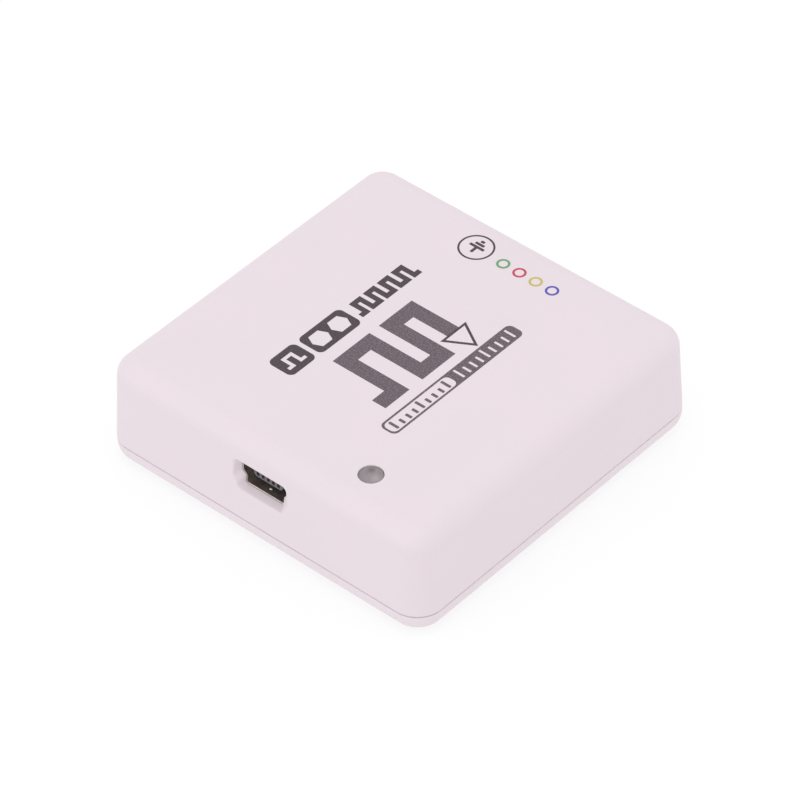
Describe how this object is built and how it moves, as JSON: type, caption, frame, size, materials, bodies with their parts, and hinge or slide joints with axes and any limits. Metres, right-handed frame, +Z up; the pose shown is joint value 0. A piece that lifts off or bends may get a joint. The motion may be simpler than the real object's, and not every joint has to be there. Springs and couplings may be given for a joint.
{
  "type": "logic analyzer",
  "caption": "Pocket-size square logic analyzer with a rounded pale plastic case, a mini-B socket in front, a probe header behind and a status light in the top.",
  "frame": {"origin": "middle of the underside of the base plate, where the case rests", "axes": "+Z up; -Y is the side with the USB socket, +Y the side with the probe header; +X to the right when the USB socket faces the viewer"},
  "size_m": [0.05, 0.05, 0.015],
  "materials": {
    "case_plastic": "fine spark-eroded texture",
    "board_laminate": "green solder mask on glass laminate",
    "socket_steel": "nickel-plated stamped steel",
    "black_moulding": "black moulded nylon",
    "contact_gold": "gold flash over brass",
    "light_lens": "smoke-grey translucent epoxy",
    "lead_tin": "bright tin plate",
    "screw_steel": "zinc-plated steel",
    "solder_tin": "smooth solder",
    "chip_epoxy": "black moulding compound",
    "tantalum_epoxy": "yellow moulding compound",
    "resistor_glaze": "black glaze on alumina",
    "capacitor_ceramic": "sintered titanate ceramic",
    "ferrite_ceramic": "sintered ferrite",
    "fuse_polymer": "green coated polymer",
    "crystal_ceramic": "fired brown ceramic",
    "crystal_lid_metal": "plated lid"
  },
  "bodies": {
    "base": {"base_plate": "case_plastic", "main_board": "board_laminate", "board_screws": "screw_steel", "usb_shell": "socket_steel", "usb_insulator": "black_moulding", "usb_contacts": "contact_gold", "probe_header_block": "black_moulding", "probe_header_pins": "contact_gold", "status_led": "light_lens", "status_led_leads": "lead_tin", "solder_joints": "solder_tin", "logic_chip": "chip_epoxy", "logic_chip_leads": "lead_tin", "usb_chip": "chip_epoxy", "usb_chip_leads": "lead_tin", "memory_chip": "chip_epoxy", "memory_chip_leads": "lead_tin", "config_flash": "chip_epoxy", "config_flash_leads": "lead_tin", "input_buffer": "chip_epoxy", "input_buffer_leads": "lead_tin", "protection_arrays": "chip_epoxy", "protection_array_leads": "lead_tin", "regulator": "chip_epoxy", "regulator_leads": "lead_tin", "bulk_capacitors": "tantalum_epoxy", "bulk_capacitor_leads": "lead_tin", "usb_esd_array": "chip_epoxy", "usb_esd_array_leads": "lead_tin", "crystal_base": "crystal_ceramic", "crystal_lid": "crystal_lid_metal", "chip_resistors": "resistor_glaze", "decoupling_capacitors": "capacitor_ceramic", "resettable_fuse": "fuse_polymer", "ferrite_bead": "ferrite_ceramic", "chip_part_ends": "lead_tin"},
    "cover": {"top_cover": "case_plastic"}
  },
  "joints": [
    {"name": "cover_lift", "type": "slide", "parent": "base", "child": "cover", "axis": [0, 0, 1], "range_m": [0, 0.025]}
  ]
}
